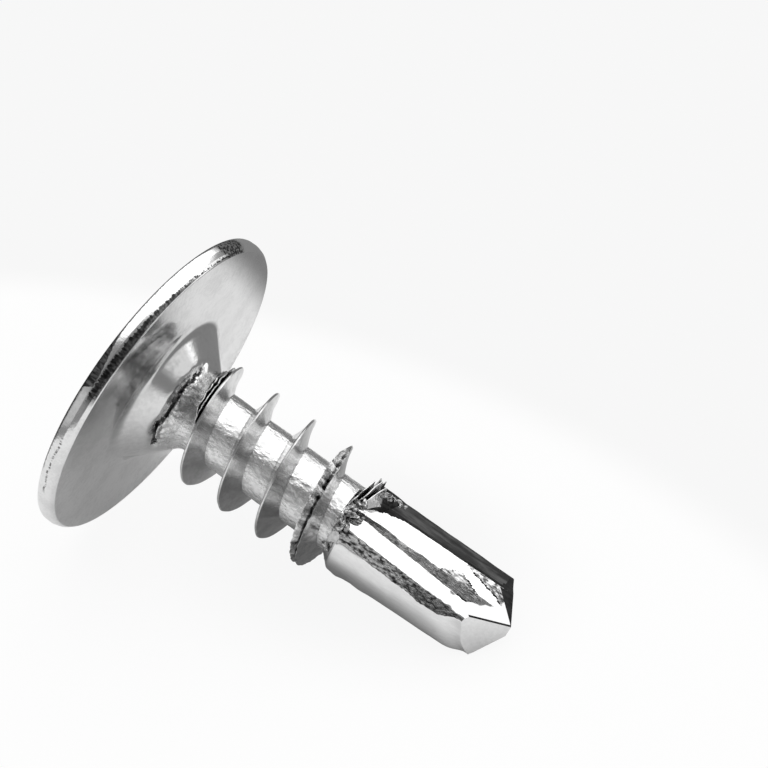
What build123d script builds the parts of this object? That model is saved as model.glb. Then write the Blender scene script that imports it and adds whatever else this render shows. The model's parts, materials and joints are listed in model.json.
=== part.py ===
from build123d import *
from math import asin, atan2, cos, degrees, hypot, radians, sin, tan
import os

# A self drilling washer head screw, ST4.2, in millimetres. It is one piece of steel.
# It is drawn along its own axis: z = 0 is the bearing face under the head, +z runs to
# the drill point, and +x looks out of the middle of one drill flute. Angles are counted
# from +x towards +y, so a crest that climbs with its angle is a right hand thread.
# The finished screw is then laid down as it rests, on the head's rim and the point.

# Washer head
head_diameter = 11.3        # over the rounded rim
bearing_diameter = 11.0     # sharp edge round the bearing face
rim_top_diameter = 10.6     # where the rounded rim meets the top of the flange
rim_height = 0.85           # bearing face to the flange's top edge
rim_widest_height = 0.45    # bearing face to the widest place of the rim
flange_rise = 0.15          # how much higher the flange is at the dome's foot
dome_diameter = 7.2
dome_fillet = 0.9
head_height = 2.0           # bearing face to the top of the dome

# Cross recess in the dome
recess_span = 4.1           # across opposite wings, level with the top of the dome
recess_depth = 2.1
wing_width = 1.0
wing_floor_width = 0.7
wing_draft = 24             # the wings' outer ends, from the axis
recess_core_diameter = 2.1  # round middle, level with the top of the dome
recess_core_draft = 12
recess_turn = 12            # the wings' turn from the flutes

# Flare between bearing face and shank
flare_diameter = 5.5        # where its cone would meet the bearing face
flare_angle = 45            # from the axis
flare_foot_fillet = 0.6
flare_throat_fillet = 0.5

# Rolled thread
major_diameter = 4.2
core_diameter = 2.44
pitch = 1.508
crest_width = 0.07
thread_root_width = 0.66    # where the ridge meets the core
thread_start_height = 1.03  # where the ridge leaves the neck
thread_start_angle = 161
thread_start_fade = 120     # degrees in which the crest grows to its full height
thread_end_gap = 0.83       # from the end of the full crest to the drill
thread_end_fade = 360       # degrees in which the crest sinks into the drill
thread_end_diameter = 3.0
thread_sink = 0.12          # depth of the ridge's foot inside the core
thread_step = 15            # degrees between the points of its edges

# Forged drill
drill_start = 7.75          # bearing face to the drill's full diameter
drill_shoulder_angle = 45
drill_diameter = 3.22       # at the shoulder
drill_point_diameter = 3.02
screw_length = 13.68        # bearing face to the chisel edge
lip_corner_drop = 0.77      # chisel edge down to the corner in front of each land
heel_corner_drop = 1.40     # chisel edge down to the corner behind each land
drill_lean = 1.5            # the drill is forged this much out of line
drill_lean_side = -49       # and leans to this side

# Two flutes, opposite each other. Each pair of values is at the start of the flute and
# at the point: the flute spreads towards the point. Angles are from its middle line.
flute_start = 7.3           # where the flute begins
flute_end_height = 7.11     # its end wall at the surface, over the middle of the flute
flute_end_angle = 45        # of that wall from the axis
flute_end_skew = 18
lip_angle = 65              # cutting edge on one side
crease_radius = 1.065       # inner edge of the wall under the cutting edge
crease_angle = 62
wall_foot_radii = (0.60, 0.52)      # foot of the wall on the heel side
wall_foot_angles = (-21, -12)
wall_top_angles = (17, 41)  # top of that wall, on the flat behind the heel
flat_distance = 1.2         # of that flat from the axis
flat_side = 22
bevel_angles = (43, 57)     # where a bevel leaves the flat
heel_angles = (57, 70)      # and reaches the land

# Gash that thins the web at the point
point_web = 0.30            # across the chisel edge
gash_fall = 18              # floor of the gash, from the axis
gash_bank = 27              # and across the flute

overshoot = 1.0             # how far a cutting tool stands past what it cuts


def round_corners(section, corners):
    """Round named corners of a section, each with its own radius."""
    for place, radius in corners:
        corner = section.vertices().sort_by_distance(place)[0]
        section = fillet(corner, radius)
    return section


def rim_arc():
    """Section of the rounded rim, from the flange's top edge to the bearing face."""
    return ThreePointArc(
        (rim_top_diameter / 2, -rim_height),
        (head_diameter / 2, -rim_widest_height),
        (bearing_diameter / 2, 0),
    )


def head_and_core():
    """The turned form: washer head, flare and core, up to inside the drill."""
    core_radius = core_diameter / 2
    flare_radius = flare_diameter / 2
    flare_height = (flare_radius - core_radius) / tan(radians(flare_angle))
    dome_foot = Vector(dome_diameter / 2, -rim_height - flange_rise)
    flare_foot = Vector(flare_radius, 0)
    flare_throat = Vector(core_radius, flare_height)
    rim = rim_arc()
    outline = Curve() + [
        TangentArc((0, -head_height), dome_foot, tangent=(1, 0)),
        Line(dome_foot, rim @ 0),
        rim,
        Polyline(
            rim @ 1,
            flare_foot,
            flare_throat,
            (core_radius, drill_start + overshoot),
            (0, drill_start + overshoot),
            (0, -head_height),
        ),
    ]
    corners = (
        (dome_foot, dome_fillet),
        (flare_foot, flare_foot_fillet),
        (flare_throat, flare_throat_fillet),
    )
    section = round_corners(make_face(outline), corners)
    return revolve(Plane.XZ * section, Axis.Z)


def recess_tool():
    """The punch of the cross recess: four wings and a tapered core with a point."""
    def level(diameter, draft, height):
        return diameter - 2 * (height + head_height) * tan(radians(draft))

    top = -head_height - overshoot
    floor = -head_height + recess_depth
    width_draft = degrees(atan2((wing_width - wing_floor_width) / 2, recess_depth))
    wing_ends = []
    core_ends = []
    for height in (top, floor):
        span = level(recess_span, wing_draft, height)
        width = level(wing_width, width_draft, height)
        wing_ends.append(Pos(0, 0, height) * Rectangle(span, width))
        core_radius = level(recess_core_diameter, recess_core_draft, height) / 2
        core_ends.append(Pos(0, 0, height) * Circle(core_radius))
    wing = loft(wing_ends)
    punch = loft(core_ends) + wing + Rot(0, 0, 90) * wing
    return Rot(0, 0, recess_turn) * punch


def thread_angles():
    """Where stretches of the ridge begin and end, in degrees from its start."""
    full_height = drill_start - thread_end_gap - thread_start_height
    full_end = full_height / pitch * 360
    angles = [0, thread_start_fade]
    while angles[-1] + 360 < full_end:
        angles.append(angles[-1] + 360)
    return angles + [full_end, full_end + thread_end_fade]


def crest_radius(angle, full_end):
    """The crest grows out of the neck and sinks into the drill."""
    full = major_diameter / 2
    if angle < thread_start_fade:
        buried = core_diameter / 2 - thread_sink / 2
        return buried + (full - buried) * angle / thread_start_fade
    past_full = max(0, angle - full_end) / thread_end_fade
    return full - (full - thread_end_diameter / 2) * past_full


def ridge(start, end, full_end):
    """One stretch of the thread: a helical bar whose foot lies inside the core."""
    foot_radius = core_diameter / 2 - thread_sink
    flank_height = (major_diameter - core_diameter) / 2
    flank_slope = (thread_root_width - crest_width) / 2 / flank_height
    foot_half = thread_root_width / 2 + flank_slope * thread_sink
    crest_half = crest_width / 2
    steps = max(4, round((end - start) / thread_step))
    edges = []
    for on_crest, offset in ((0, -foot_half), (1, -crest_half), (1, crest_half), (0, foot_half)):
        points = []
        for step in range(steps + 1):
            angle = start + (end - start) * step / steps
            radius = crest_radius(angle, full_end) if on_crest else foot_radius
            turned = radians(thread_start_angle + angle)
            height = thread_start_height + pitch * angle / 360 + offset
            points.append((radius * cos(turned), radius * sin(turned), height))
        edges.append(Edge.make_spline(points))
    sides = [Face.make_surface_from_curves(edges[i - 1], edges[i]) for i in range(4)]
    caps = [make_face(Polyline(*[edge @ end for edge in edges], close=True)) for end in (0, 1)]
    return Solid(Shell(sides + [cap.face() for cap in caps]))


def polar(radius, angle):
    """A point of a cross section."""
    return Vector(radius, 0).rotate(Axis.Z, angle)


def on_flat(angle):
    """A point on the flat behind the heel."""
    return polar(flat_distance / cos(radians(angle - flat_side)), angle)


def end_facet_slopes():
    """How the end of the +y land falls along y and along x."""
    radius = drill_point_diameter / 2
    leading = polar(radius, 180 - lip_angle)
    trailing = polar(radius, lip_angle)
    along_y = (lip_corner_drop + heel_corner_drop) / 2 / trailing.Y
    along_x = (heel_corner_drop - lip_corner_drop) / (trailing.X - leading.X)
    return along_y, along_x


def drill_body():
    """The drill before its flutes: shoulder, slight taper and the two end facets."""
    core_radius = core_diameter / 2
    shoulder = (drill_diameter / 2 - core_radius) / tan(radians(drill_shoulder_angle))
    outline = Polyline(
        (0, drill_start - shoulder),
        (core_radius, drill_start - shoulder),
        (drill_diameter / 2, drill_start),
        (drill_point_diameter / 2, screw_length),
        (0, screw_length),
        close=True,
    )
    body = revolve(Plane.XZ * make_face(outline), Axis.Z)
    along_y, along_x = end_facet_slopes()
    for side in (1, -1):
        facet = Plane((0, 0, screw_length), z_dir=(side * along_x, side * along_y, 1))
        body = split(body, bisect_by=facet, keep=Keep.BOTTOM)
    return body


def flute_section(end):
    """Section of the +x flute at its start (0) or at the point (1)."""
    radius = (drill_diameter, drill_point_diameter)[end] / 2
    lip = polar(radius, -lip_angle)
    crease = polar(crease_radius, -crease_angle)
    wall_foot = polar(wall_foot_radii[end], wall_foot_angles[end])
    bevel = on_flat(bevel_angles[end])
    heel = polar(radius, heel_angles[end])
    outside = 2 * drill_diameter
    return make_face(
        Polyline(
            lip + (lip - crease).normalized() * overshoot,
            crease,
            wall_foot,
            on_flat(wall_top_angles[end]),
            bevel,
            heel + (heel - bevel).normalized() * overshoot,
            polar(outside, heel_angles[end]),
            polar(outside, -lip_angle),
            close=True,
        )
    )


def flute_groove():
    """What is taken out for the +x flute."""
    start = Pos(0, 0, flute_start) * flute_section(0)
    point = Pos(0, 0, screw_length) * flute_section(1)
    groove = loft([start, point])
    slope = 1 / tan(radians(flute_end_angle))
    end_wall = Plane(
        polar(drill_diameter / 2, 0) + Vector(0, 0, flute_end_height),
        z_dir=(slope, tan(radians(flute_end_skew)), 1),
    )
    return split(groove, bisect_by=end_wall)


def gash():
    """The wedge that leaves a short chisel edge between the flutes."""
    along_y, along_x = end_facet_slopes()
    chisel_end = Vector(point_web / 2, -point_web / 2 * along_x / along_y, screw_length)
    crease = polar(crease_radius, -crease_angle)
    side = Vector(0, 0, 1).cross(crease - chisel_end)
    floor = Vector(1, -tan(radians(gash_bank)), tan(radians(gash_fall)))
    wedge = Pos(0, 0, screw_length) * Box(screw_length, screw_length, screw_length)
    for normal in (side, floor):
        wedge = split(wedge, bisect_by=Plane(chisel_end, z_dir=normal))
    return wedge


def drill_out_of_line():
    """How the forged drill leans from the screw's axis."""
    return (
        Pos(0, 0, drill_start)
        * Rot(0, 0, drill_lean_side)
        * Rot(0, drill_lean, 0)
        * Rot(0, 0, -drill_lean_side)
        * Pos(0, 0, -drill_start)
    )


def whole_screw():
    """All of the screw, on its own axis."""
    body = head_and_core()
    angles = thread_angles()
    for start, end in zip(angles, angles[1:]):
        body += ridge(start, end, angles[-2])
    lean = drill_out_of_line()
    body += lean * drill_body()
    for turn in (0, 180):
        body -= lean * Rot(0, 0, turn) * flute_groove()
        body -= lean * Rot(0, 0, turn) * gash()
    return body - recess_tool()


def resting_corners():
    """The two corners of the point that meet the floor, either side of the -x flute."""
    along_y, along_x = end_facet_slopes()
    leading = polar(drill_point_diameter / 2, 180 - lip_angle)
    leading.Z = screw_length - lip_corner_drop
    wall_top = on_flat(wall_top_angles[1])
    fall = along_y * wall_top.Y + along_x * wall_top.X
    trailing = Vector(-wall_top.X, -wall_top.Y, screw_length - fall)
    lean = drill_out_of_line()
    return [(lean * Pos(corner)).position for corner in (leading, trailing)]


def at_rest(body):
    """Lay the screw on its rim and the two corners of its point, tip towards +x."""
    rim = rim_arc()
    leading, trailing = resting_corners()
    edge = leading - trailing
    slope = 0
    for _ in range(8):
        roll = asin(tan(slope) * edge.Z / hypot(edge.X, edge.Y)) - atan2(edge.X, edge.Y)
        reach = -leading.X * cos(roll) - leading.Y * sin(roll)
        rise = rim.arc_center.X - reach
        run = leading.Z - rim.arc_center.Y
        slope = atan2(rise, run) + asin(rim.radius / hypot(rise, run))
    upward = (cos(slope) * cos(roll), cos(slope) * sin(roll), -sin(slope))
    floor = Plane((0, 0, 0), x_dir=(0, 0, 1), z_dir=upward)
    laid = floor.to_local_coords(body)
    box = laid.bounding_box()
    print(f"axis {degrees(slope):.2f} degrees from the floor, rolled {degrees(roll):.2f}")
    return Pos(-box.center().X, -box.center().Y, -box.min.Z) * laid


screw = at_rest(whole_screw())
os.makedirs("parts", exist_ok=True)
export_step(screw, "parts/screw.step")
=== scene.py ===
import json
import math

import bmesh
import bpy
from mathutils import Matrix, Vector, noise


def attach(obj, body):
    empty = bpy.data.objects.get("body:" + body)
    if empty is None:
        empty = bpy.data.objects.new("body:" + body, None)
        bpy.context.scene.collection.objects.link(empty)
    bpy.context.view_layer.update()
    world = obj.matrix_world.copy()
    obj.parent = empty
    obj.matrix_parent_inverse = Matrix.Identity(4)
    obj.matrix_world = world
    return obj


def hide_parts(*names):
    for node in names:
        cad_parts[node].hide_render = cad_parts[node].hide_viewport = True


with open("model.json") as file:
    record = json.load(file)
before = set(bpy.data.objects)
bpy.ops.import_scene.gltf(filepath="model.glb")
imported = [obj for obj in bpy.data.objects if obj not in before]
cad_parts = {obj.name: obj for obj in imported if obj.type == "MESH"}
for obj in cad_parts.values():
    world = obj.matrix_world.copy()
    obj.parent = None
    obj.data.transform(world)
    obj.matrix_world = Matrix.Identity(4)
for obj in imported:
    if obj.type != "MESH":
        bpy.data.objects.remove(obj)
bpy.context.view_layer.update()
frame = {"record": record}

noise.seed_set(26)      # or noise_vector differs from run to run

# The screw is drawn on its own axis in millimetres: z = 0 is the face under the head, +z runs
# to the point and +x looks out of the upper flute. It is moved to where it lies at the end.

head = {
    "diameter": 11.3,
    "underDiameter": 11.0,      # sharp edge of the face under the head
    # corners of the rim: radius, height, rounding and its segments
    "rim": (
        (5.36, -.66, .06, 3),
        (5.62, -.60, .07, 3),
        (5.655, -.50, .10, 2),
        (5.655, -.30, .10, 3),
        (5.60, -.12, .08, 3),
    ),
    "domeFoot": -1.0,
    "domeDiameter": 7.2,
    "domeFillet": .9,
    "height": 2.0,
    "edgeRadius": .025,
    "spinSteps": 224,
}
flare = {"diameter": 5.5, "angle": 45, "footFillet": .6, "throatFillet": .5}
recess = {
    "span": 4.1,
    "depth": 2.1,
    "wing": 1.0,
    "wingFloor": .7,
    "wingDraft": 24,
    "core": 2.1,
    "coreDraft": 12,
    "turn": 12,
}
neck = {
    "rolledFrom": .84,      # where the rolls have bitten into the flare
    "rolledTo": 1.5,
    "rolledSide": 48,       # middle of the bitten side, and its half spread
    "rolledSpread": 62,
    "wander": .07,          # how far that edge wanders up and down
    "crease": .15,          # depth and half width of the crease along it
    "creaseWidth": .07,
    "sunk": .05,            # and of the rolled metal behind it
    "rough": .05,
    "coreRough": .014,
    # width of the band along the crease that is painted dark: painted shade in the crease
    "creaseShadeWidth": .10,
    "rings": ((.6, 26), (5, 70)),       # heights between which rings are added, and how many
}
thread = {
    "diameter": 4.2,
    "core": 2.44,
    "pitch": 1.508,
    "crestWidth": .07,
    "rootWidth": .66,
    "startHeight": 1.03,
    "startAngle": 161,
    "startFade": 120,
    "endGap": .83,
    "endFade": 360,
    "endDiameter": 3.0,
    "sink": .12,
    "hollow": .05,      # how far the flanks are hollow at half height
    "stepAngle": 3,     # largest steps in a sweep, in degrees and along the axis
    "stepClimb": .08,
    "flankShares": (0, .15, .3, .45, .6, .75, .88, .97),    # where a flank has points
    "crestRough": .018,
    "tornFrom": 1235,   # degrees from its start where the crest begins to tear
    "tornFull": 1275,
    "tornRough": .06,
    "tornWidth": (.19, .09),    # how far the split crest stands open, before and after it narrows
    "tornNarrows": (1330, 1400),
    "lap": .42,         # depth of the split along the torn crest
}
drill = {
    "start": 7.75,
    "shoulderAngle": 45,
    "diameter": 3.22,
    "pointDiameter": 3.02,
    "length": 13.68,
    "cornerRound": .15,
    "lipDrop": .77,         # from the chisel edge to the corners before and behind each land
    "heelDrop": 1.40,
    "lean": 1.5,
    "leanSide": -49,
    "spinSteps": 144,
    "rings": 56,
    "waves": .012,          # unevenness of the forged lands
    "endSide": 105,         # the edge of the end facets is rounded off here, how far and from where
    "endRound": .20,
    "endReach": .38,
    # height along, side, size, reach and spread of each
    "bumps": ((9.0, 131, .08, .30, 16), (8.1, 128, .05, .18, 14), (10.1, 128, .02, .4, 12)),
}
flute = {
    "start": 7.3,
    "endHeight": 6.29,
    "endAngle": 45,
    "endSkew": 45,
    "lipAngle": 65,         # cutting edge on one side
    "creaseRadius": 1.065,
    "creaseAngle": 62,
    "wallFootRadii": (.60, .52),        # pairs are for the start of the flute and the point
    "wallFootAngles": (-21, -12),
    "wallTopAngles": (17, 41),
    "flatDistance": 1.2,
    "flatSide": 22,
    "bevelAngles": (43, 57),
    "heelAngles": (57, 70),
    "web": .30,
    "gashFall": 24.8,
    "gashBank": 8,
    "gashCells": 70,
    "gashReach": 2.4,
    "rings": 84,
    # parts and finish of each stretch of the section
    "stretches": ((18, "sheared"), (20, "bright"), (9, "torn"), (6, "bright"), (7, "grimy"),
                  (1, "bright"), (1, "bright"), (1, "bright")),
    "rough": {"bright": .004, "torn": .028, "grimy": .030, "sheared": .014},
    # torn metal on the floor: on which side of a border, and the border by height and y
    "wedge": (-1, ((11.45, -.86), (13.05, -.35))),
    "patch": (1, ((10.8, -.20), (11.45, -.57), (12.45, -.04))),
    "darkFrom": 11.7,       # where such metal has a dark edge, and how wide
    "darkEdge": .06,
    # border of painted shade on the flute floor, by height and y
    "paintedShadeBorder": ((7.0, -.1), (7.66, -.44), (8.05, -.635), (8.46, -.796), (9.1, -.95)),
    "blackFrom": 12.68,     # the cutting edges are bare steel past here
    "floorReach": .56,      # the floor lies nearer to the axis than this
}
beyond = 1.0        # how far a cutter stands past what it cuts
combining = {
    "direction": Vector((.9137, .3571, .1931)),     # along which the points are put in order
    "leastKept": .5,        # of the faces, or the cut has failed
}
sharpAngle = 32     # between faces that are shaded with an edge between them
finishNames = ("bright", "satin", "rim", "crest", "flaked",
               "rolled", "torn", "grimy", "sheared", "bareAndShaded")


def polar(radius, angle, height=0):
    turned = math.radians(angle)
    return Vector((radius * math.cos(turned), radius * math.sin(turned), height))


def around(place):
    return math.degrees(math.atan2(place.y, place.x))


def offSide(place, side):
    return (around(place) - side + 180) % 360 - 180


def ramp(value, low, high):
    share = min(1, max(0, (value - low) / (high - low)))
    return share * share * (3 - 2 * share)


def uneven(place, fineness, seed=0):
    return noise.noise(place * fineness + Vector((seed, 2 * seed, 0)))


def pushOut(v, distance):
    radius = math.hypot(v.co.x, v.co.y)
    v.co.x *= 1 + distance / radius
    v.co.y *= 1 + distance / radius


def setFinish(faces, name):
    for face in faces:
        face.material_index = finishNames.index(name)


def meshObject(name, bm):
    mesh = bpy.data.meshes.new(name)
    bm.to_mesh(mesh)
    bm.free()
    piece = bpy.data.objects.new(name, mesh)
    bpy.context.scene.collection.objects.link(piece)
    return piece


def screwPiece(name, bm, place=None):
    piece = meshObject(name, bm)
    for finish in finishNames:
        piece.data.materials.append(finishes[finish])
    if place is not None:
        piece.data.transform(place)
    return piece


def putInOrder(bm):
    # a Boolean gives the same mesh in another order each time, on which later steps depend
    bm.verts.sort(key=lambda v: v.co.dot(combining["direction"]))
    bm.verts.index_update()
    count = len(bm.verts)
    for parts in (bm.edges, bm.faces):
        parts.sort(key=lambda part: (min(v.index for v in part.verts) * count * 9
                                     + sum(v.index for v in part.verts)))
        parts.index_update()


def combine(piece, tools, operation):
    for tool in tools:
        cut = piece.modifiers.new("cut", "BOOLEAN")
        cut.operation = operation
        cut.solver = "EXACT"
        cut.object = tool
        graph = bpy.context.evaluated_depsgraph_get()
        bm = bmesh.new()
        bm.from_object(piece, graph)
        piece.modifiers.clear()
        if len(bm.faces) < combining["leastKept"] * len(piece.data.polygons):
            raise RuntimeError(tool.name + " took nearly all of " + piece.name + " away")
        putInOrder(bm)
        bmesh.ops.remove_doubles(bm, verts=bm.verts[:], dist=1e-4)
        bmesh.ops.dissolve_degenerate(bm, edges=bm.edges[:], dist=1e-4)
        bm.to_mesh(piece.data)
        bm.free()
        bpy.data.objects.remove(tool)


def gather(piece, others):
    # joins shells that only overlap it, such as folded leaves of metal
    bm = bmesh.new()
    bm.from_mesh(piece.data)
    for other in others:
        bm.from_mesh(other.data)
        bpy.data.objects.remove(other)
    bm.to_mesh(piece.data)
    bm.free()


class Value:
    def __init__(self, tree, socket):
        self.tree = tree
        self.socket = socket

    def maths(self, operation, *others):
        return self.tree.node("ShaderNodeMath", {"operation": operation}, [self, *others]).out(0)

    def __add__(self, other):
        return self.maths("ADD", other)

    def __sub__(self, other):
        return self.maths("SUBTRACT", other)

    def __mul__(self, other):
        return self.maths("MULTIPLY", other)

    def __rsub__(self, other):
        return self.maths("MULTIPLY_ADD", -1, other)

    __radd__ = __add__
    __rmul__ = __mul__


class Node:
    def __init__(self, tree, node):
        self.tree = tree
        self.node = node

    def out(self, name):
        return Value(self.tree, self.node.outputs[name])


class Tree:
    def __init__(self, owner):
        owner.use_nodes = True
        self.nodes = owner.node_tree.nodes
        self.links = owner.node_tree.links
        self.nodes.clear()

    def node(self, kind, settings=None, values=None):
        node = self.nodes.new(kind)
        for name, setting in (settings or {}).items():
            if name == "stops":
                stops = node.color_ramp.elements
                while len(stops) < len(setting):
                    stops.new(1)
                for stop, (position, level) in zip(stops, setting):
                    stop.position = position
                    stop.color = grey(level)
            else:
                setattr(node, name, setting)
        pairs = values.items() if isinstance(values, dict) else enumerate(values or [])
        for name, value in pairs:
            if isinstance(value, Value):
                self.links.new(value.socket, node.inputs[name])
            else:
                node.inputs[name].default_value = value
        return Node(self, node)

    def mix(self, share, first, second):
        return self.node("ShaderNodeMix", {"data_type": "RGBA"}, {0: share, 6: first, 7: second}).out(2)


def grey(level):
    return (level, level, level, 1)


def lyingPlace(record):
    # from the screw's own axes to where it lies, in metres
    mounts = {mount["name"]: mount for mount in record["mounts"]}
    axis = Vector(mounts["bearing_face"]["axis"]).normalized()
    origin = Vector(mounts["driver_recess"]["pos_m"]) + axis * head["height"] / 1000
    across = (Vector(mounts["bearing_face"]["pos_m"]) - origin).normalized()
    across = (across - axis * across.dot(axis)).normalized()
    turned = Matrix((across, axis.cross(across), axis)).transposed().to_4x4()
    return Matrix.Translation(origin) @ turned @ Matrix.Scale(.001, 4)


lying = lyingPlace(frame["record"])

# Zinc plate and bare steel, with painted shade in some of them. Colours and roughnesses are of the dull
# and the bright patches; sizes of patterns are in millimetres.
zinc = {
    "bright": {"colour": (.80, .88), "roughness": (.08, .14),
               "grain": .10, "height": .001, "streak": .3, "cloud": .7},
    "satin": {"colour": (.68, .78), "roughness": (.10, .18),
              "grain": .16, "height": .0014, "streak": 1, "cloud": .8},
    "rim": {"colour": (.76, .86), "roughness": (.12, .18),
            "grain": .09, "height": .002, "streak": 1, "cloud": 1.2},
    "crest": {"colour": (.60, .78), "roughness": (.14, .22),
              "grain": .12, "height": .0025, "streak": 1, "cloud": 2},
    "flaked": {"colour": (.42, .92), "roughness": (.12, .28),
               "grain": .075, "height": .014, "streak": 1, "cloud": 5},
    "rolled": {"colour": (.64, .88), "roughness": (.20, .32),
               "grain": .10, "height": .020, "streak": .6, "cloud": 2.5},
    "torn": {"colour": (.09, .78), "roughness": (.18, .45),
             "grain": .07, "height": .024, "streak": .5, "cloud": 9},
    # dark metal on the band at the heel of each flute, and painted shade in the crease at the neck
    "grimy": {"colour": (.015, .30), "roughness": (.25, .5),
              "grain": .06, "height": .022, "streak": .5, "cloud": 9},
    "sheared": {"colour": (.035, .075), "roughness": (.3, .45),
                "grain": .09, "height": .006, "streak": .10, "cloud": 5},
    # bare steel at the cutting edges, and painted shade on the flute floor and on the gash's side wall
    "bareAndShaded": {"colour": (.012, .025), "roughness": (.3, .4),
             "grain": .12, "height": .003, "streak": .3, "cloud": 3},
}
# What all of these share: patches of tone, rounded edges, and painted shade in crevices
wearAndShade = {
    "cloudShare": .55,
    "grainShare": .45,
    "patchStops": (.38, .60),
    "edgeRadius": .022,
    # painted shade in crevices: how far it looks, where it starts and ends, how strong and how dark
    "creviceReach": .10,
    "creviceStops": (.35, .80),
    "creviceShade": .9,
    "creviceShadeColour": .02,
}
# Dark bands, a patch and a fine line painted into the rim's colour. Sides are in degrees, heights and
# sizes in millimetres. Where there are four sides or heights, a mark comes between the first two and goes
# between the last two.
rimMarks = {
    "shade": .04,
    "edgeSides": (-31, -26, 50, 55),        # a dark serrated band beside the sharp edge
    "edgeWidth": (.075, .26),       # at its upper and lower ends
    "edgeGrows": (-14, 44),
    "edgeTop": (-.040, -.025),
    "backSides": (-28, -23, 78, 86),        # another along the far edge
    "backHeights": (-.545, -.29),       # its border, where it is narrowest and widest
    "backWide": (27, 47, 47.5, 50),     # where it widens and narrows again
    "teeth": .26,
    "teethDrawn": .22,
    "teethScale": 14,
    "blur": .015,
    "patchSides": (-32, -29, -19, -17.5),       # a pitted patch
    "patchGrain": (.42, .56),
    "lineSides": (66, 69, 91, 94),      # a fine wandering line
    "lineHeight": -.34,
    "lineWidth": .018,
    "lineWander": .22,
    "wanderScale": 1.9,
}


def fade(tree, value, low, high, start=0, end=1):
    return tree.node("ShaderNodeMapRange", {"interpolation_type": "SMOOTHSTEP"}, {
        "Value": value,
        "From Min": low,
        "From Max": high,
        "To Min": start,
        "To Max": end}).out(0)


def between(tree, value, stops):
    # 0 before the first stop, 1 between the middle two and 0 after the last
    return fade(tree, value, stops[0], stops[1]) * fade(tree, value, stops[2], stops[3], 1, 0)


def noiseAt(tree, place, scale, detail):
    pattern = tree.node("ShaderNodeTexNoise", None, {"Vector": place, "Scale": scale, "Detail": detail})
    return pattern.out("Fac")


def drawnOut(tree, place, share):
    # stretches a pattern along the screw's axis
    return tree.node("ShaderNodeVectorMath", {"operation": "MULTIPLY"}, [place, (1, 1, share)]).out(0)


def markRim(tree, onScrew, grain, colour):
    marks = rimMarks
    place = tree.node("ShaderNodeSeparateXYZ", None, [onScrew])
    height = place.out("Z")
    side = place.out("Y").maths("ARCTAN2", place.out("X")) * math.degrees(1)
    drawn = drawnOut(tree, onScrew, marks["teethDrawn"])
    teeth = noiseAt(tree, drawn, marks["teethScale"], 5) - .5
    wander = noiseAt(tree, onScrew, marks["wanderScale"], 3) - .5
    width = fade(tree, side, *marks["edgeGrows"], *marks["edgeWidth"])
    edge = fade(tree, height + width + teeth * marks["teeth"], -marks["blur"], marks["blur"])
    edge = edge * fade(tree, height, *marks["edgeTop"], 1, 0)
    edge = edge * between(tree, side, marks["edgeSides"])
    narrow, wide = marks["backHeights"]
    border = between(tree, side, marks["backWide"]) * (wide - narrow) + narrow
    above = height - border + teeth * (marks["teeth"] * .5)
    back = fade(tree, above, -marks["blur"], marks["blur"], 1, 0) * between(tree, side, marks["backSides"])
    streaks = fade(tree, teeth, -.16, .14, .72, 1)
    patch = between(tree, side + wander * 6, marks["patchSides"])
    patch = patch * fade(tree, grain, *marks["patchGrain"], 1, .3)
    off = (height - marks["lineHeight"] + wander * marks["lineWander"]).maths("ABSOLUTE")
    line = fade(tree, off, marks["lineWidth"], marks["lineWidth"] * 2.5, .85, 0)
    line = line * between(tree, side, marks["lineSides"]) * fade(tree, teeth, -.06, .04)
    marked = edge * streaks
    for other in (back * streaks, patch, line):
        marked = marked.maths("MAXIMUM", other)
    return tree.mix(marked, colour, grey(marks["shade"]))


def zincFinish(name):
    look = zinc[name]
    material = bpy.data.materials.new(name + "Zinc")
    tree = Tree(material)
    onScrew = tree.node("ShaderNodeMapping", {"vector_type": "TEXTURE"}, {
        "Vector": tree.node("ShaderNodeTexCoord").out("Object"),
        "Location": lying.to_translation(),
        "Rotation": lying.to_euler(),
        "Scale": (.001, .001, .001)}).out(0)
    drawn = drawnOut(tree, onScrew, look["streak"])
    cloud = noiseAt(tree, drawn, look["cloud"], 3)
    grain = tree.node("ShaderNodeTexNoise", None, {
        "Vector": drawn,
        "Scale": 1 / look["grain"],
        "Detail": 3,
        "Roughness": .6}).out("Fac")
    patches = fade(tree, cloud * wearAndShade["cloudShare"] + grain * wearAndShade["grainShare"], *wearAndShade["patchStops"])
    colour = tree.mix(patches, *[grey(level) for level in look["colour"]])
    if name == "rim":
        colour = markRim(tree, onScrew, grain, colour)
    # ambient occlusion darkens the colour in crevices and creases: painted shade
    openness = tree.node("ShaderNodeAmbientOcclusion", {"samples": 6, "only_local": True},
                         {"Distance": wearAndShade["creviceReach"] / 1000}).out("AO")
    crevice = fade(tree, openness, *wearAndShade["creviceStops"], wearAndShade["creviceShade"], 0)
    colour = tree.mix(crevice, colour, grey(wearAndShade["creviceShadeColour"]))
    rounded = tree.node("ShaderNodeBevel", {"samples": 4}, {"Radius": wearAndShade["edgeRadius"] / 1000}).out(0)
    bump = tree.node("ShaderNodeBump", None, {
        "Height": grain,
        "Strength": 1,
        "Distance": look["height"] / 1000,
        "Normal": rounded}).out(0)
    low, high = look["roughness"]
    shader = tree.node("ShaderNodeBsdfPrincipled", None, {
        "Metallic": 1,
        "Base Color": colour,
        "Roughness": high - patches * (high - low),
        "Normal": bump})
    tree.node("ShaderNodeOutputMaterial", None, {"Surface": shader.out(0)})
    return material


finishes = {name: zincFinish(name) for name in finishNames}


def arcBetween(centre, radius, first, last, steps):
    return [centre + polar(radius, first + (last - first) * step / steps) for step in range(steps + 1)]


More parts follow.
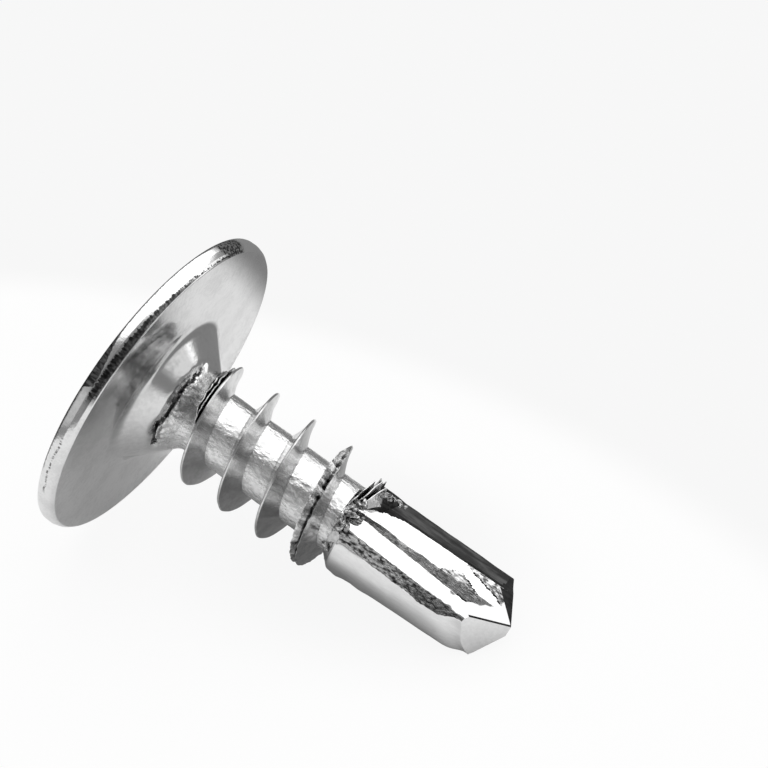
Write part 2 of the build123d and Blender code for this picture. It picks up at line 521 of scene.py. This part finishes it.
def spunBody(outline, rounded, steps, stretches=()):
    # outline: x is the radius and y the height
    bm = bmesh.new()
    face = bm.faces.new([bm.verts.new((p.x, 0, p.y)) for p in outline])
    for place, radius, segments in rounded:
        corner = min(bm.verts, key=lambda v: (v.co - Vector((place[0], 0, place[1]))).length)
        ends = [(e.other_vert(corner).co - corner.co).normalized() for e in corner.link_edges]
        turn = math.pi - ends[0].angle(ends[1])
        bmesh.ops.bevel(bm, geom=[corner], affect="VERTICES", offset_type="OFFSET",
                        offset=radius * math.tan(turn / 2), segments=segments, profile=.5,
                        clamp_overlap=False, material=-1)
    for height, cuts in stretches:
        crossing = [e for e in bm.edges
                    if min(v.co.z for v in e.verts) < height < max(v.co.z for v in e.verts)
                    and min(v.co.x for v in e.verts) > 1e-3]
        bmesh.ops.subdivide_edges(bm, edges=crossing, cuts=cuts)
    onAxis = [e for e in bm.edges if all(abs(v.co.x) < 1e-6 for v in e.verts)]
    bmesh.ops.delete(bm, geom=bm.faces[:], context="FACES_ONLY")
    bmesh.ops.delete(bm, geom=onAxis, context="EDGES")
    bmesh.ops.spin(bm, geom=bm.verts[:] + bm.edges[:], axis=(0, 0, 1), cent=(0, 0, 0),
                   angle=math.tau, steps=steps, use_merge=True)
    bmesh.ops.remove_doubles(bm, verts=bm.verts[:], dist=1e-5)
    bmesh.ops.recalc_face_normals(bm, faces=bm.faces[:])
    return bm


def rolledEdge(place):
    side = polar(1, around(place))
    return neck["rolledFrom"] + neck["wander"] * (uneven(side, 2.2, 3) + .6 * uneven(side, 9, 5))


def rolledShare(place):
    # 1 on the side that the rolls have bitten, 0 on the other
    off = abs(offSide(place, neck["rolledSide"]))
    return 1 - ramp(off, neck["rolledSpread"] - 20, neck["rolledSpread"] + 10)


def turnedBody():
    coreRadius = thread["core"] / 2
    foot = Vector((flare["diameter"] / 2, 0, 0))
    throat = Vector((coreRadius, (foot.x - coreRadius) / math.tan(math.radians(flare["angle"])), 0))
    top = -head["height"]
    domeFoot = Vector((head["domeDiameter"] / 2, head["domeFoot"], 0))
    rise = domeFoot.y - top
    domeRadius = (domeFoot.x ** 2 + rise ** 2) / 2 / rise
    domeTurn = math.degrees(math.asin(domeFoot.x / domeRadius))
    dome = arcBetween(Vector((0, top + domeRadius, 0)), domeRadius, -90, -90 + domeTurn, 10)
    rim = [Vector((radius, height, 0)) for radius, height, _, _ in head["rim"]]
    edge = Vector((head["underDiameter"] / 2, 0, 0))
    end = drill["start"] + beyond
    outline = dome + rim + [edge, foot, throat, Vector((coreRadius, end, 0)), Vector((0, end, 0))]
    rounded = [(domeFoot, head["domeFillet"], 8)]
    rounded += [(corner, *facts[2:]) for corner, facts in zip(rim, head["rim"])]
    rounded += [
        (edge, head["edgeRadius"], 2),
        (foot, flare["footFillet"], 8),
        (throat, flare["throatFillet"], 8),
    ]
    bm = spunBody(outline, rounded, head["spinSteps"], neck["rings"])
    for v in bm.verts:
        height = v.co.z
        if not .6 < height < drill["start"] or math.hypot(v.co.x, v.co.y) < 1:
            continue
        edge = rolledEdge(v.co)
        bitten = rolledShare(v.co)
        rolled = ramp(height, edge, edge + .05)
        rolled = rolled * (1 - ramp(height, neck["rolledTo"] - .5, neck["rolledTo"]))
        crease = math.exp(-((height - edge - .04) / neck["creaseWidth"]) ** 2)
        rough = uneven(v.co, 6, 7) + .7 * uneven(v.co, 15, 9)
        onCore = ramp(height, 1.4, 1.8)
        pushOut(v, bitten * (rolled * (neck["rough"] * rough - neck["sunk"]) - neck["crease"] * crease)
                + neck["coreRough"] * onCore * rough)
    for face in bm.faces:
        middle = face.calc_center_median()
        radius = math.hypot(middle.x, middle.y)
        past = middle.z - rolledEdge(middle)
        # the crease just past the bitten edge is painted dark: painted shade
        if rolledShare(middle) > .5 and 0 < past < neck["creaseShadeWidth"]:
            setFinish([face], "grimy")
        elif past > .03 and (rolledShare(middle) > .4 or middle.z > 1.25):
            setFinish([face], "rolled")
        elif middle.z > -.01 and radius < head["underDiameter"] / 2 - .05:
            setFinish([face], "satin")
        elif middle.z > head["rim"][0][1] - .02 and radius > head["rim"][0][0] - .05:
            setFinish([face], "rim")
    return bm


def frustum(bottom, top, low, high):
    bm = bmesh.new()
    bmesh.ops.create_cube(bm, size=1)
    for v in bm.verts:
        size = top if v.co.z > 0 else bottom
        v.co = Vector((v.co.x * size[0], v.co.y * size[1], high if v.co.z > 0 else low))
    return bm


def recessPunch():
    low = -head["height"] - beyond
    high = -head["height"] + recess["depth"]

    def level(size, slope, height):
        return size - 2 * (height + head["height"]) * slope

    widthSlope = (recess["wing"] - recess["wingFloor"]) / 2 / recess["depth"]
    endSlope = math.tan(math.radians(recess["wingDraft"]))
    coreSlope = math.tan(math.radians(recess["coreDraft"]))
    tools = []
    for quarter in (0, 90):
        sizes = [(level(recess["span"], endSlope, h), level(recess["wing"], widthSlope, h))
                 for h in (low, high)]
        place = Matrix.Rotation(math.radians(recess["turn"] + quarter), 4, "Z")
        tools.append(screwPiece("wing", frustum(*sizes, low, high), place))
    bm = bmesh.new()
    ends = [level(recess["core"], coreSlope, h) / 2 for h in (low, high)]
    bmesh.ops.create_cone(bm, cap_ends=True, segments=48, radius1=ends[0], radius2=ends[1],
                          depth=high - low)
    tools.append(screwPiece("punchCore", bm, Matrix.Translation((0, 0, (low + high) / 2))))
    return tools


# Thin leaves of metal folded up in rolling. Sides are in degrees, the rest in millimetres.
leaf = {
    "foot": 1.1,        # radii of the foot and of a leaf's sunk ends
    "sunk": 1.15,
    "edge": .014,       # half width of the edge
    "waist": .45,       # and, as a share of the foot's, half way out
    "notches": .10,
    "waves": .05,
    # sides, heights along the axis, radii of the edge at both ends, half width at the foot
    "each": (
        ((221, 420), (1.09, 1.93), (1.93, 1.93), .11),
        ((240, 406), (1.00, 1.70), (1.70, 1.70), .10),
        ((66, 93), (.95, 1.02), (1.94, 1.84), .07),
        ((18, -25), (7.34, 7.60), (1.44, 1.98), .12),
        ((12, -30), (7.50, 7.84), (1.40, 2.04), .12),
        ((6, -33), (7.66, 8.04), (1.40, 1.86), .12),
    ),
}


def helixBar(section, turn, climb):
    # a section swept up a helix about the axis, its ends closed
    bm = bmesh.new()
    verts = [bm.verts.new((r, 0, z)) for r, z in section]
    edges = [bm.edges.new((verts[i - 1], verts[i])) for i in range(len(verts))]
    steps = round(max(abs(turn) / thread["stepAngle"], abs(climb) / thread["stepClimb"], 10))
    bmesh.ops.spin(bm, geom=verts + edges, axis=(0, 0, 1), cent=(0, 0, 0),
                   dvec=(0, 0, climb / steps), angle=math.radians(turn),
                   steps=steps, use_merge=False)
    bmesh.ops.holes_fill(bm, edges=[e for e in bm.edges if e.is_boundary], sides=0)
    bmesh.ops.recalc_face_normals(bm, faces=bm.faces[:])
    return bm


def turnAbout(bm, angle):
    turned = Matrix.Rotation(math.radians(angle), 3, "Z")
    bmesh.ops.rotate(bm, verts=bm.verts[:], cent=(0, 0, 0), matrix=turned)


def helixAngle(place):
    climbed = place.z / thread["pitch"] * 360
    return around(place) + 360 * round((climbed - around(place)) / 360)


def threadRidge():
    foot = thread["core"] / 2 - thread["sink"]
    full = thread["diameter"] / 2
    buried = thread["core"] / 2 - thread["sink"] / 2
    slope = (thread["rootWidth"] - thread["crestWidth"]) / (thread["diameter"] - thread["core"])
    fullEnd = (drill["start"] - thread["endGap"] - thread["startHeight"]) / thread["pitch"] * 360
    last = fullEnd + thread["endFade"]

    def halfWidth(share):
        hollow = thread["hollow"] * math.sin(math.pi * share)
        return thread["crestWidth"] / 2 + slope * (full - foot) * (1 - share) - hollow

    sides = [(foot + (full - foot) * share, halfWidth(share)) for share in thread["flankShares"]]
    section = [(r, -z) for r, z in sides] + [(full, 0)] + [(r, z) for r, z in reversed(sides)]
    bm = helixBar(section, last, thread["pitch"] * last / 360)
    for v in bm.verts:
        angle = helixAngle(v.co)
        offset = v.co.z - thread["pitch"] * angle / 360
        crest = full
        if angle < thread["startFade"]:
            crest = buried + (full - buried) * max(angle, 0) / thread["startFade"]
        elif angle > fullEnd:
            crest = full - (full - thread["endDiameter"] / 2) * (angle - fullEnd) / thread["endFade"]
        torn = ramp(angle, thread["tornFrom"], thread["tornFull"])
        early, late = thread["tornWidth"]
        wide = early + (late - early) * ramp(angle, *thread["tornNarrows"])
        along = Vector((angle / 20, 0, 0))
        notches = max(0, uneven(along, 3.1, 2))
        crest += thread["crestRough"] * uneven(along, 1.3, 1) - torn * thread["tornRough"] * notches
        radius = math.hypot(v.co.x, v.co.y)
        share = (radius - foot) / (full - foot)
        if abs(offset) < 1e-4:
            share -= torn * thread["lap"] * (.7 + .9 * uneven(along, 2.9, 4))
        else:
            v.co.z += torn * wide * share ** 2 * (.35 if offset > 0 else -1)
        v.co.z += torn * .04 * share * uneven(along, 4.1, 6)
        pushOut(v, foot + share * (crest - foot) - radius)
    split = [v for v in bm.verts
             if thread["tornFrom"] < helixAngle(v.co) < fullEnd + 60
             and math.hypot(v.co.x, v.co.y) > 1.5
             and v.co.z < thread["pitch"] * helixAngle(v.co) / 360 - .02]
    setFinish(bm.faces, "crest")
    setFinish({f for v in split for f in v.link_faces}, "flaked")
    turnAbout(bm, thread["startAngle"])
    bmesh.ops.translate(bm, verts=bm.verts[:], vec=(0, 0, thread["startHeight"]))
    return bm


def foldedLeaf(sides, heights, radii, halfWidth, seed):
    foot, edge = leaf["foot"], max(radii)
    turn, climb = sides[1] - sides[0], heights[1] - heights[0]
    half = [(foot, halfWidth), ((foot + edge) / 2, halfWidth * leaf["waist"]), (edge, leaf["edge"])]
    bm = helixBar([(r, -z) for r, z in half] + [(r, z) for r, z in reversed(half)], turn, climb)
    for v in bm.verts:
        turned = around(v.co)
        if abs(turn) > 180 and turned < 0:
            turned += 360
        share = min(1, max(0, turned / turn))
        ends = ramp(share, 0, .15) * (1 - ramp(share, .88, 1))
        along = Vector((turned / 20 + v.co.z * 2, seed, 0))
        outward = (math.hypot(v.co.x, v.co.y) - foot) / (edge - foot)
        notch = leaf["notches"] * max(0, uneven(along, 2.7, seed))
        reach = radii[0] + (radii[1] - radii[0]) * share - notch
        v.co.z += heights[0] + outward * leaf["waves"] * uneven(along, 1.9, seed + 5)
        pushOut(v, outward * ((reach - edge) * ends + (leaf["sunk"] - edge) * (1 - ends)))
    turnAbout(bm, sides[0])
    setFinish(bm.faces, "flaked" if abs(turn) > 60 else "rolled")
    return bm


def onFlat(angle):
    return polar(flute["flatDistance"] / math.cos(math.radians(angle - flute["flatSide"])), angle)


def endSlopes():
    radius = drill["pointDiameter"] / 2
    leading = polar(radius, 180 - flute["lipAngle"])
    trailing = polar(radius, flute["lipAngle"])
    alongY = (drill["lipDrop"] + drill["heelDrop"]) / 2 / trailing.y
    alongX = (drill["heelDrop"] - drill["lipDrop"]) / (trailing.x - leading.x)
    return alongX, alongY


def sliceAway(bm, point, normal):
    # cut off what lies past a plane and close the cut
    cut = bmesh.ops.bisect_plane(bm, geom=bm.verts[:] + bm.edges[:] + bm.faces[:], dist=1e-6,
                                 plane_co=point, plane_no=normal, clear_outer=True)
    rim = [g for g in cut["geom_cut"] if isinstance(g, bmesh.types.BMEdge)]
    return bmesh.ops.holes_fill(bm, edges=rim, sides=0)["faces"]


def drillBlank():
    coreRadius = thread["core"] / 2
    full = drill["diameter"] / 2
    shoulder = (full - coreRadius) / math.tan(math.radians(drill["shoulderAngle"]))
    start, end = drill["start"], drill["length"]
    corner = Vector((full, start, 0))
    outline = [Vector((0, start - shoulder, 0)), Vector((coreRadius, start - shoulder, 0)), corner,
               Vector((drill["pointDiameter"] / 2, end, 0)), Vector((0, end, 0))]
    rings = [(start + .3, drill["rings"])]
    bm = spunBody(outline, [(corner, drill["cornerRound"], 4)], drill["spinSteps"], rings)
    alongX, alongY = endSlopes()
    for v in bm.verts:
        if v.co.z > start - shoulder / 2 and math.hypot(v.co.x, v.co.y) > 1.3:
            out = drill["waves"] * uneven(v.co, 1.6, 11)
            for height, side, size, reach, spread in drill["bumps"]:
                off = offSide(v.co, side)
                out += size * math.exp(-((v.co.z - height) / reach) ** 2 - (off / spread) ** 2)
            below = end - abs(alongX * v.co.x + alongY * v.co.y) - v.co.z
            onHeel = ramp(math.cos(math.radians(around(v.co) - drill["endSide"])), .5, .9)
            fallen = math.exp(-(max(0, below) / drill["endReach"]) ** 2)
            pushOut(v, out - onHeel * drill["endRound"] * fallen)
    for side in (1, -1):
        sliceAway(bm, (0, 0, end), (side * alongX, side * alongY, 1))
    return bm


def fluteSection(share):
    # corners of the flute's section, from its start (0) to the point (1)
    def partWay(pair):
        return pair[0] + (pair[1] - pair[0]) * share

    radius = partWay((drill["diameter"], drill["pointDiameter"])) / 2
    lip = polar(radius, -flute["lipAngle"])
    crease = polar(flute["creaseRadius"], -flute["creaseAngle"])
    ends = []
    for end in (0, 1):
        bevel = onFlat(flute["bevelAngles"][end])
        heel = polar((drill["diameter"], drill["pointDiameter"])[end] / 2, flute["heelAngles"][end])
        foot = polar(flute["wallFootRadii"][end], flute["wallFootAngles"][end])
        heelOut = heel + (heel - bevel).normalized() * beyond
        ends.append((foot, onFlat(flute["wallTopAngles"][end]), bevel, heelOut))
    foot, wallTop, bevel, heelOut = [a.lerp(b, share) for a, b in zip(*ends)]
    outside = 2 * drill["diameter"]
    lipOut = lip + (lip - crease).normalized() * beyond
    return [lipOut, crease, foot, wallTop, bevel, heelOut,
            polar(outside, partWay(flute["heelAngles"])), polar(outside, -flute["lipAngle"])]


def borderAt(stops, height):
    for (low, start), (high, end) in zip(stops, stops[1:]):
        if low <= height <= high:
            return start + (end - start) * (height - low) / (high - low)


def markTorn(face, name):
    place = face.calc_center_median()
    side, stops = flute[name]
    border = borderAt(stops, place.z)
    depth = -1 if border is None else side * (place.y - border) + .03 * uneven(place, 9, 3)
    if depth > 0:
        dark = depth < flute["darkEdge"] and place.z > flute["darkFrom"]
        setFinish([face], "bareAndShaded" if dark else "torn")


def markFlute(face):
    middle = face.calc_center_median()
    lip = math.hypot(middle.x, middle.y) - flute["creaseRadius"]
    finish = finishNames[face.material_index]
    if finish == "sheared" and (middle.z > flute["blackFrom"] + lip * .4 or lip < .08):
        setFinish([face], "bareAndShaded")
    elif finish == "torn" and middle.z > flute["patch"][1][-1][0]:
        setFinish([face], "bright")
    elif finish == "torn" and middle.z > flute["darkFrom"]:
        share = (middle.z - flute["start"]) / (drill["length"] - flute["start"])
        if (fluteSection(share)[3].xy - middle.xy).length < flute["darkEdge"] * 1.5:
            setFinish([face], "bareAndShaded")
    elif finish == "bright" and middle.x < flute["floorReach"]:
        markTorn(face, "wedge")
        markTorn(face, "patch")
        # the flute floor is painted near black below this border: painted shade
        border = borderAt(flute["paintedShadeBorder"], middle.z)
        if border is not None and middle.y < border + .04 * uneven(middle, 5, 9):
            setFinish([face], "bareAndShaded")


def fluteCutter(seed):
    bm = bmesh.new()
    loops = []
    for end, height in enumerate((flute["start"], drill["length"] + .01)):
        corners = [bm.verts.new(corner + Vector((0, 0, height))) for corner in fluteSection(end)]
        loops.append([bm.edges.new((corner, corners[i - 7])) for i, corner in enumerate(corners)])
    sides = bmesh.ops.bridge_loops(bm, edges=loops[0] + loops[1])["faces"]
    halfWay = fluteSection(.5)
    middles = [(halfWay[i] + halfWay[i - 7]) / 2 for i in range(8)]
    for face in sides:
        middle = face.calc_center_median()
        nearest = min(range(8), key=lambda i: (middles[i] - Vector((middle.x, middle.y, 0))).length)
        parts, finish = flute["stretches"][nearest]
        setFinish([face], finish)
        across = [e for e in face.edges if abs(e.verts[0].co.z - e.verts[1].co.z) < 1]
        bmesh.ops.subdivide_edges(bm, edges=across, cuts=parts - 1, use_grid_fill=True)
    along = [e for e in bm.edges if abs(e.verts[0].co.z - e.verts[1].co.z) > 1]
    bmesh.ops.subdivide_edges(bm, edges=along, cuts=flute["rings"], use_grid_fill=True)
    for v in bm.verts:
        size = max(flute["rough"][finishNames[f.material_index]] for f in v.link_faces)
        slow = Vector((v.co.x, v.co.y, v.co.z * .45)) * 5 + Vector((seed, 0, 0))
        shift = (noise.noise_vector(slow) + noise.noise_vector(v.co * 12) * .7) * size
        v.co += Vector((shift.x, shift.y, 0))
    bmesh.ops.holes_fill(bm, edges=[e for e in bm.edges if e.is_boundary], sides=0)
    for face in bm.faces:
        markFlute(face)
    wallPoint = polar(drill["diameter"] / 2, 0, flute["endHeight"])
    wallSlope = Vector((1 / math.tan(math.radians(flute["endAngle"])),
                        math.tan(math.radians(flute["endSkew"])), 1))
    setFinish(sliceAway(bm, wallPoint, -wallSlope), "sheared")
    bmesh.ops.recalc_face_normals(bm, faces=bm.faces[:])
    return bm


def gashCutter():
    # everything above the gash's floor, as far as a side that stands on the chisel edge
    alongX, alongY = endSlopes()
    chiselEnd = Vector((flute["web"] / 2, -flute["web"] / 2 * alongX / alongY, drill["length"]))
    bank = math.tan(math.radians(flute["gashBank"]))
    fall = math.tan(math.radians(flute["gashFall"]))
    bm = bmesh.new()
    cells = flute["gashCells"]
    bmesh.ops.create_grid(bm, x_segments=cells, y_segments=cells, size=flute["gashReach"])
    for v in bm.verts:
        across, back = v.co.x, v.co.y
        v.co = chiselEnd + Vector((bank * across + fall * back, across, -back))
    # a dark line along the end facet
    edgeSlope = Vector((alongX, alongY, 1))
    edgeLine = Vector((0, 0, drill["length"] - flute["darkEdge"] * 1.3))
    bmesh.ops.bisect_plane(bm, geom=bm.verts[:] + bm.edges[:] + bm.faces[:],
                           plane_co=edgeLine, plane_no=edgeSlope)
    for face in bm.faces:
        past = (face.calc_center_median() - edgeLine).dot(edgeSlope)
        setFinish([face], "bareAndShaded" if past > 0 else "bright")
        markTorn(face, "wedge")
    raised = bmesh.ops.duplicate(bm, geom=bm.verts[:] + bm.edges[:] + bm.faces[:])["geom"]
    raisedVerts = [g for g in raised if isinstance(g, bmesh.types.BMVert)]
    bmesh.ops.translate(bm, verts=raisedVerts, vec=(drill["length"], 0, 0))
    walls = bmesh.ops.bridge_loops(bm, edges=[e for e in bm.edges if e.is_boundary])["faces"]
    setFinish(walls, "bright")
    # the gash's side wall is painted near black: painted shade
    crease = polar(flute["creaseRadius"], -flute["creaseAngle"])
    side = Vector((0, 0, 1)).cross(crease - chiselEnd)
    setFinish(sliceAway(bm, chiselEnd, -side), "bareAndShaded")
    bmesh.ops.recalc_face_normals(bm, faces=bm.faces[:])
    return bm


def outOfLine():
    side = math.radians(drill["leanSide"])
    return (Matrix.Translation((0, 0, drill["start"]))
            @ Matrix.Rotation(side, 4, "Z") @ Matrix.Rotation(math.radians(drill["lean"]), 4, "Y")
            @ Matrix.Rotation(-side, 4, "Z") @ Matrix.Translation((0, 0, -drill["start"])))


# Curls of metal pushed up where the thread meets the drill, in groups: how many, their middle
# and spread in side, height along the axis and radius, and their largest size.
curls = (
    (26, (42, 34), (7.60, .32), (1.36, .16), .24),
    (6, (-26, 5), (8.08, .12), (1.58, .06), .15),
    (6, (-33, 6), (8.50, .34), (1.56, .05), .13),
    (8, (96, 22), (7.70, .16), (1.34, .05), .14),
)


def curl(side, height, radius, size, seed):
    bm = bmesh.new()
    bmesh.ops.create_icosphere(bm, subdivisions=3, radius=1)
    for v in bm.verts:
        v.co *= 1 + .35 * uneven(v.co, 1.7, seed) + .25 * uneven(v.co, 4.5, seed + 3)
        v.co = Vector((v.co.x * .55, v.co.y, v.co.z * .45)) * size
    place = (Matrix.Rotation(math.radians(side), 4, "Z") @ Matrix.Translation((radius, 0, height))
             @ Matrix.Rotation(2.4 * seed, 4, "X"))
    bmesh.ops.transform(bm, matrix=place, verts=bm.verts[:])
    setFinish(bm.faces, "torn")
    return bm


def curlPieces():
    pieces = []
    for group, (count, *spreads, size) in enumerate(curls):
        for i in range(count):
            seed = 7.3 * i + 31 * group
            drawn = [noise.noise(Vector((seed, k * 3.7, .5))) * 1.6 for k in range(4)]
            side, height, radius = [middle + spread * share
                                    for (middle, spread), share in zip(spreads, drawn)]
            bm = curl(side, height, radius, size * (.75 + .35 * drawn[3]), seed)
            pieces.append(screwPiece("curl", bm))
    return pieces


def makeScrew():
    lean = outOfLine()
    screw = screwPiece("zincScrew", turnedBody())
    combine(screw, recessPunch(), "DIFFERENCE")
    parts = [screwPiece("ridge", threadRidge()), screwPiece("blank", drillBlank(), lean)]
    combine(screw, parts, "UNION")
    print("screw: head, thread and drill joined,", len(screw.data.polygons), "faces")
    cutters = []
    for turn in (0, 180):
        place = lean @ Matrix.Rotation(math.radians(turn), 4, "Z")
        cutters.append(screwPiece("fluteCutter", fluteCutter(turn), place))
        cutters.append(screwPiece("gashCutter", gashCutter(), place))
    combine(screw, cutters, "DIFFERENCE")
    print("screw: flutes and gashes cut,", len(screw.data.polygons), "faces")
    extras = [screwPiece("leaf", foldedLeaf(*facts, i)) for i, facts in enumerate(leaf["each"])]
    gather(screw, extras + curlPieces())
    screw.data.transform(lying)
    bm = bmesh.new()
    bm.from_mesh(screw.data)
    bmesh.ops.remove_doubles(bm, verts=bm.verts[:], dist=1e-8)
    for face in bm.faces:
        face.smooth = True
    for edge in bm.edges:
        edge.smooth = not edge.is_manifold or edge.calc_face_angle() < math.radians(sharpAngle)
    bm.to_mesh(screw.data)
    bm.free()
    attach(screw, "root")
    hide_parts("screw")
    screw.data.calc_loop_triangles()
    print("screw: finished,", len(screw.data.loop_triangles), "triangles")


studio = {
    "floorSize": 3,
    "floorColour": .85,
    "paintedShadowColour": .09,     # of the floor under the screw: a painted shadow
    "paintedShadowPlace": (1.4, 1.6, 0),
    "paintedShadowReach": (8.2, 6.4, 1),
    "paintedShadowStops": (.3, 1.1),
    "farColour": .14,       # and of the floor outside a painted pool of light
    "poolPlace": (-4, -18.6, 0),
    "poolReach": (36, 31, 1),
    "poolStops": (.94, 1.03),
    "floorWhiteness": .92,      # as the camera and glass see it
    "mirroredWhiteness": .13,       # how much of the white background shows in metal
    "lampLight": 1.8,
    # Middle of each soft light in the room, and its brightness by how near to that middle one
    # looks. The lamp's stops are cosines; the others' run from 0, straight behind, to 1.
    "lampSide": (-.08, .30, .95),
    "lampStops": ((.30, 0), (.66, .08), (.75, 1)),
    "roomSide": (.92, .38, .10),        # the paler side of the room
    "roomStops": ((.60, 0), (.88, .10), (.950, .20), (.965, .80)),
    "frontSide": (-.37, -.92, .08),     # the side that faces the lands of the drill
    "frontStops": ((.80, 0), (.94, .22), (.975, .50)),
    "cardSide": (.63, .74, .24),        # a white card that the gash faces
    "cardStops": ((.965, 0), (.985, 1)),
}


def patchDistance(tree, place, middle, reach):
    # distance from the middle of an oval on the floor, 1 at its edge
    spot = tree.node("ShaderNodeMapping", {"vector_type": "TEXTURE"}, {
        "Vector": place,
        "Location": [c / 1000 for c in middle],
        "Scale": [c / 1000 for c in reach]})
    return tree.node("ShaderNodeVectorMath", {"operation": "LENGTH"}, [spot.out(0)]).out("Value")


def makeFloor():
    bm = bmesh.new()
    bmesh.ops.create_grid(bm, x_segments=1, y_segments=1, size=studio["floorSize"] / 2)
    floor = meshObject("floor", bm)
    material = bpy.data.materials.new("paleFloor")
    tree = Tree(material)
    place = tree.node("ShaderNodeTexCoord").out("Object")
    # a painted shadow under the screw and a painted pool of light around it
    under = patchDistance(tree, place, studio["paintedShadowPlace"], studio["paintedShadowReach"])
    away = patchDistance(tree, place, studio["poolPlace"], studio["poolReach"])
    colour = tree.mix(fade(tree, under, *studio["paintedShadowStops"]),
                      grey(studio["paintedShadowColour"]), grey(studio["floorColour"]))
    colour = tree.mix(fade(tree, away, *studio["poolStops"]), colour, grey(studio["farColour"]))
    rays = tree.node("ShaderNodeLightPath")
    seen = ((rays.out("Is Camera Ray") + rays.out("Is Transmission Ray")) * studio["floorWhiteness"]
            + rays.out("Is Glossy Ray") * studio["mirroredWhiteness"])
    plain = tree.node("ShaderNodeBsdfDiffuse", None, {"Color": colour})
    bright = tree.node("ShaderNodeEmission", None, {"Color": grey(1), "Strength": 1})
    mixed = tree.node("ShaderNodeMixShader", None, [seen, plain.out(0), bright.out(0)])
    tree.node("ShaderNodeOutputMaterial", None, {"Surface": mixed.out(0)})
    floor.data.materials.append(material)
    print("floor: laid")


def makeSky():
    world = bpy.data.worlds.new("studio")
    bpy.context.scene.world = world
    tree = Tree(world)
    towards = tree.node("ShaderNodeTexCoord").out("Generated")
    lit = None
    for name in ("lamp", "room", "front", "card"):
        level = tree.node("ShaderNodeVectorMath", {"operation": "DOT_PRODUCT"},
                          [towards, Vector(studio[name + "Side"]).normalized()]).out("Value")
        if name != "lamp":
            level = level * .5 + .5
        light = tree.node("ShaderNodeValToRGB", {"stops": studio[name + "Stops"]}, [level]).out("Color")
        if name == "lamp":
            lit = tree.node("ShaderNodeVectorMath", {"operation": "SCALE"},
                            {"Vector": light, "Scale": studio["lampLight"]}).out(0)
        else:
            lit = tree.node("ShaderNodeVectorMath", {"operation": "ADD"}, [lit, light]).out(0)
    rays = tree.node("ShaderNodeLightPath")
    white = (rays.out("Is Camera Ray") + rays.out("Is Transmission Ray")
             + rays.out("Is Glossy Ray") * studio["mirroredWhiteness"])
    colour = tree.mix(white, lit, grey(1))
    back = tree.node("ShaderNodeBackground", None, {"Color": colour, "Strength": 1})
    tree.node("ShaderNodeOutputWorld", None, {"Surface": back.out(0)})
    print("sky: lit")


camera = {
    "place": (21.028, -31.489, 34.838),
    "right": (.86715, .49798, .00796),
    "down": (.29828, -.50648, -.80901),
    "lens": 70.76,
}


def makeCamera():
    data = bpy.data.cameras.new("camera")
    data.lens = camera["lens"]
    data.sensor_width = 36
    data.clip_start = .001
    eye = bpy.data.objects.new("camera", data)
    bpy.context.scene.collection.objects.link(eye)
    right = Vector(camera["right"])
    up = -Vector(camera["down"])
    turned = Matrix((right, up, right.cross(up))).transposed().to_4x4()
    eye.matrix_world = Matrix.Translation(Vector(camera["place"]) / 1000) @ turned
    bpy.context.scene.camera = eye
    print("camera: placed")


makeScrew()
makeFloor()
makeSky()
makeCamera()
bpy.context.scene.view_settings.view_transform = "Standard"
